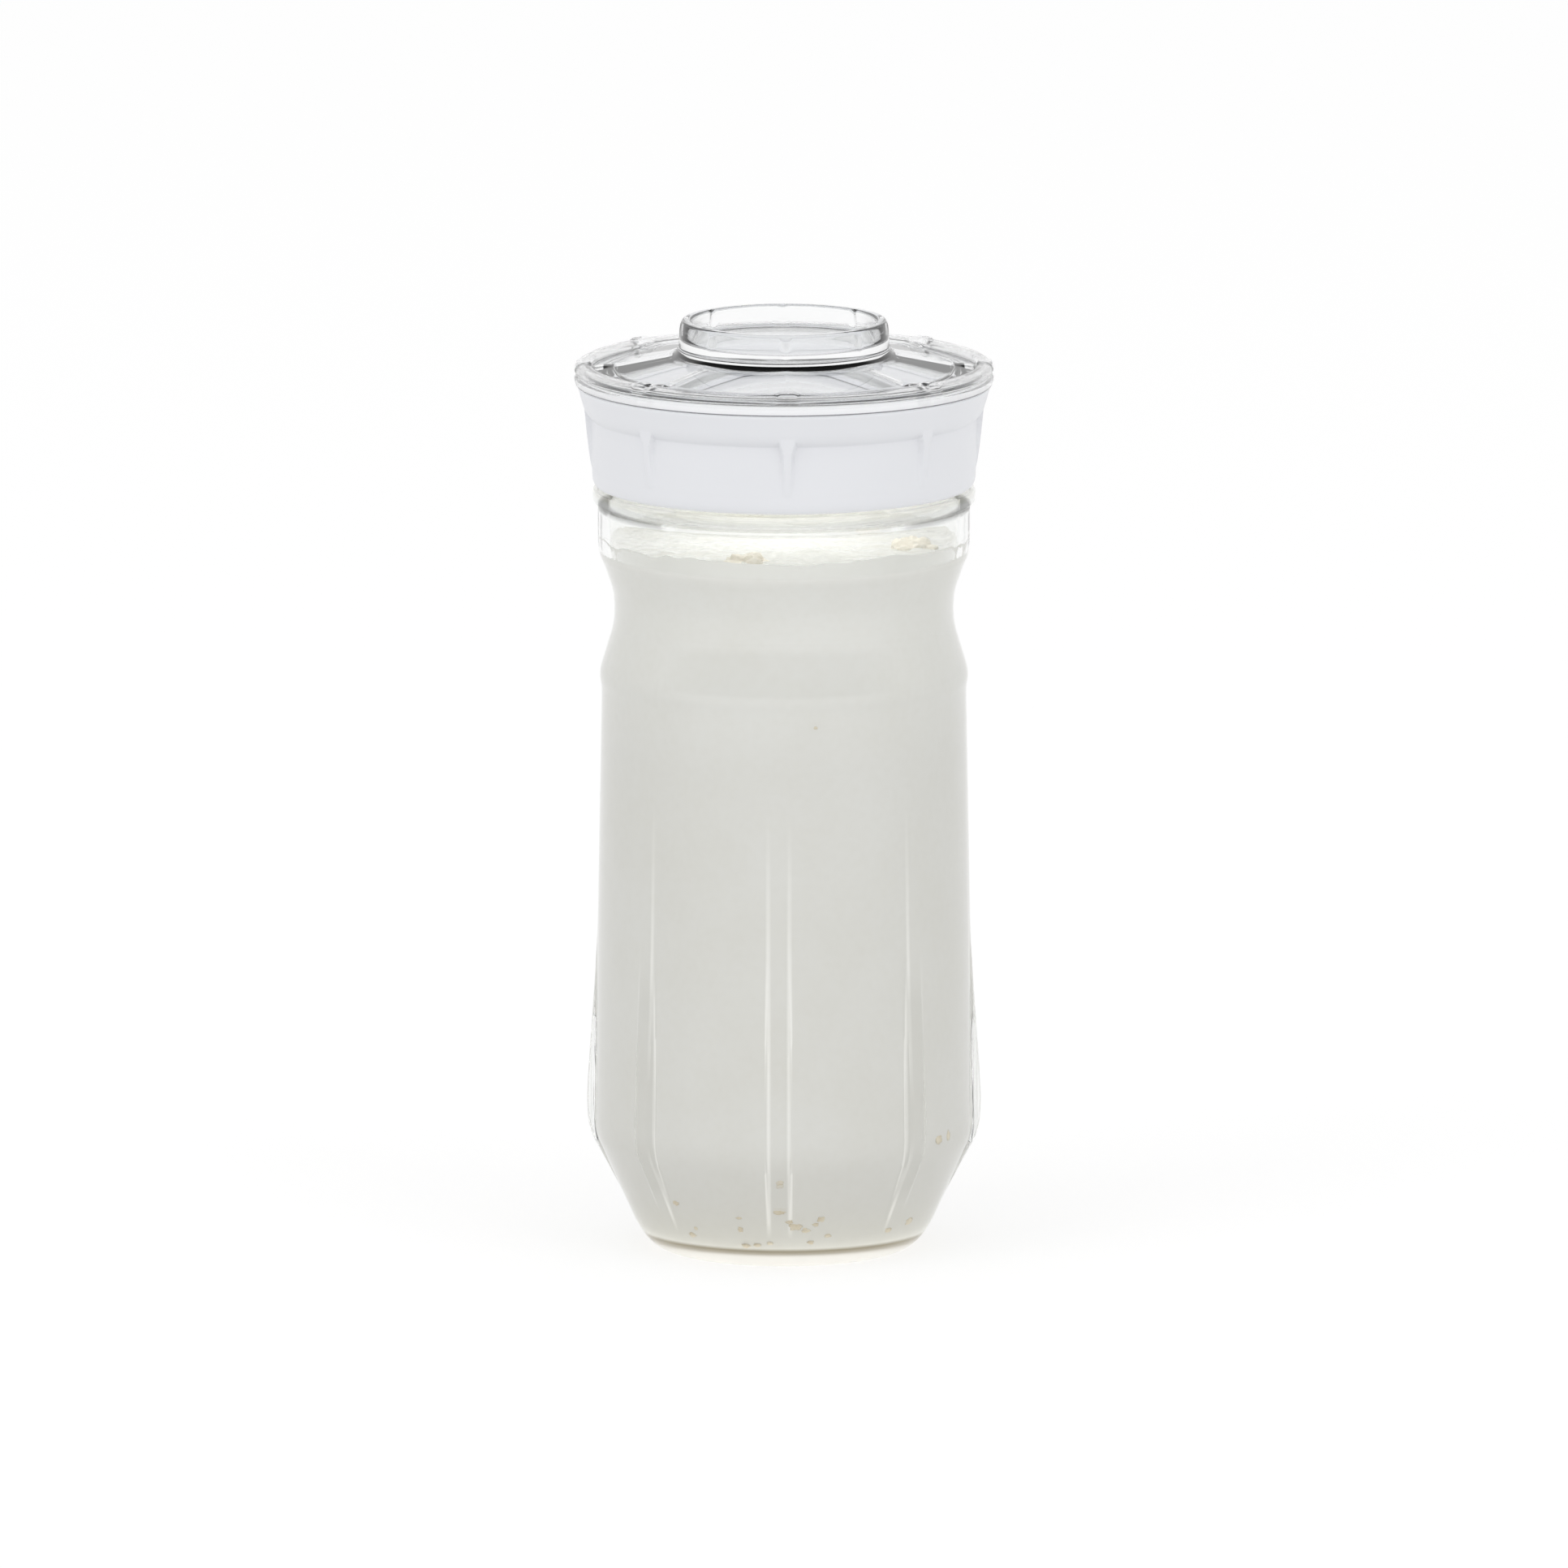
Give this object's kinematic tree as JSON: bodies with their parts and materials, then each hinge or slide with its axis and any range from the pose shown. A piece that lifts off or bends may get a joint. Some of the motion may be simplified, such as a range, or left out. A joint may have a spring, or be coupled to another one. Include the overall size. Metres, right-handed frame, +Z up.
{
  "type": "fermentation jar",
  "caption": "Tall waisted glass fermentation jar of milk kefir with a white screw lid ring, a strainer and a clear turning top cover.",
  "frame": {"origin": "middle of the foot, on the surface that the jar stands on", "axes": "+Z up along the jar's axis, -Y towards the front of the picture, +X to the right"},
  "size_m": [0.1114, 0.1114, 0.25],
  "materials": {
    "jar_glass": "clear, fire-polished",
    "kefir": "wet, cloudy white",
    "kefir_grain": "wet, lumpy, cream",
    "silicone": "matt, translucent white",
    "white_plastic": "satin, moulded",
    "clear_plastic": "clear, polished"
  },
  "bodies": {
    "jar": {"glass_jar": "jar_glass", "kefir_milk": "kefir", "kefir_grain_1": "kefir_grain", "kefir_grain_2": "kefir_grain"},
    "gasket": {"lid_gasket": "silicone"},
    "strainer": {"strainer_disc": "white_plastic"},
    "ring": {"lid_ring": "white_plastic"},
    "seal": {"cover_seal": "silicone"},
    "cover": {"top_cover": "clear_plastic"}
  },
  "joints": [
    {"name": "lid_lift_off", "type": "slide", "parent": "jar", "child": "gasket", "axis": [0, 0, 1], "range_m": [0, 0.08]},
    {"name": "lid_rise", "type": "slide", "parent": "gasket", "child": "strainer", "axis": [0, 0, 1], "range_m": [0, 0.0061]},
    {"name": "lid_turn", "type": "hinge", "parent": "strainer", "child": "ring", "pos_m": [0, 0, 0.215], "axis": [0, 0, 1], "range_deg": [0, 360]},
    {"name": "cover_lift", "type": "slide", "parent": "ring", "child": "seal", "axis": [0, 0, 1], "range_m": [0, 0.04]},
    {"name": "cover_turn", "type": "hinge", "parent": "seal", "child": "cover", "pos_m": [0, 0, 0.236], "axis": [0, 0, 1], "range_deg": [0, 45]}
  ],
  "couplings": [
    {"joint": "lid_rise", "follows": "lid_turn", "m_per_rad": 0.00095493}
  ]
}
